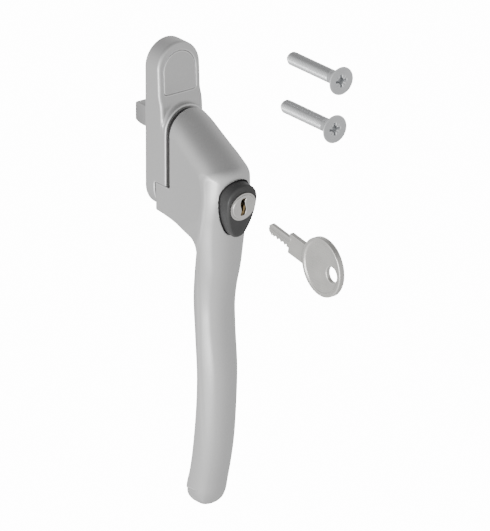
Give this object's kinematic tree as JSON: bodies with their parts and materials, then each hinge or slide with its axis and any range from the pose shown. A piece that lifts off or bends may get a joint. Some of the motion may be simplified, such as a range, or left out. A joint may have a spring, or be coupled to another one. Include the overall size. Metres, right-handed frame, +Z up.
{
  "type": "locking window handle",
  "caption": "Inline window handle with a cranked lever on a slim base, square rear spindle, push-to-lock key button, screw cap, key and fixing screws.",
  "frame": {"origin": "where the spindle's axis meets the base's rear plane, midway between the two fixing holes", "axes": "+Z up along the base with the lever's grip pointing down, -Y out of the wall towards the user, +Y along the spindle into the window"},
  "size_m": [0.019, 0.1111, 0.183],
  "materials": {
    "satin_silver": "satin silver paint on a zinc casting",
    "cap_silver": "satin silver",
    "dark_plastic": "matte",
    "nickel": "nickel plated",
    "zinc_plate": "bright zinc plated",
    "spring_steel": "drawn",
    "brass": "machined",
    "nylon": "moulded"
  },
  "bodies": {
    "base": {"base_plate": "satin_silver", "hub_sleeve": "nylon", "detent_spring": "spring_steel", "fixing_screws": "zinc_plate"},
    "cap": {"screw_cap": "cap_silver"},
    "lever": {"lever": "satin_silver", "spindle": "zinc_plate", "spindle_pin": "spring_steel", "bearing_washer": "nylon", "thrust_washer": "zinc_plate", "circlip": "spring_steel", "plunger_bush": "brass", "return_spring": "spring_steel"},
    "button": {"push_button": "dark_plastic", "lock_barrel": "nickel", "locking_plunger": "brass", "barrel_screw": "zinc_plate"},
    "cylinder": {"lock_plug": "nickel", "wafers": "brass", "wafer_springs": "spring_steel", "lock_cam": "zinc_plate", "plug_clip": "spring_steel"},
    "key": {"key": "nickel"},
    "detent_ball": {"detent_ball": "spring_steel"}
  },
  "joints": [
    {"name": "lever_turn", "type": "hinge", "parent": "base", "child": "lever", "pos_m": [0, 0, 0], "axis": [0, 1, 0], "range_deg": [-90, 90]},
    {"name": "button_push", "type": "slide", "parent": "lever", "child": "button", "axis": [0, 0.9848, 0.1736], "range_m": [0, 0.004], "stiffness_N_per_m": 400, "springref_m": -0.003, "deforming": ["return_spring"]},
    {"name": "cylinder_turn", "type": "hinge", "parent": "button", "child": "cylinder", "pos_m": [0, -0.0384, -0.0175], "axis": [0, 0.9848, 0.1736], "range_deg": [0, 90]},
    {"name": "key_insert", "type": "slide", "parent": "cylinder", "child": "key", "axis": [0, 0.9848, 0.1736], "range_m": [0, 0.0261]},
    {"name": "cap_pull", "type": "slide", "parent": "base", "child": "cap", "axis": [0, -1, 0], "range_m": [0, 0.012]},
    {"name": "detent_click", "type": "slide", "parent": "base", "child": "detent_ball", "axis": [0, 0, 1], "range_m": [0, 0.0007], "stiffness_N_per_m": 200, "springref_m": -0.001, "deforming": ["detent_spring"]}
  ]
}
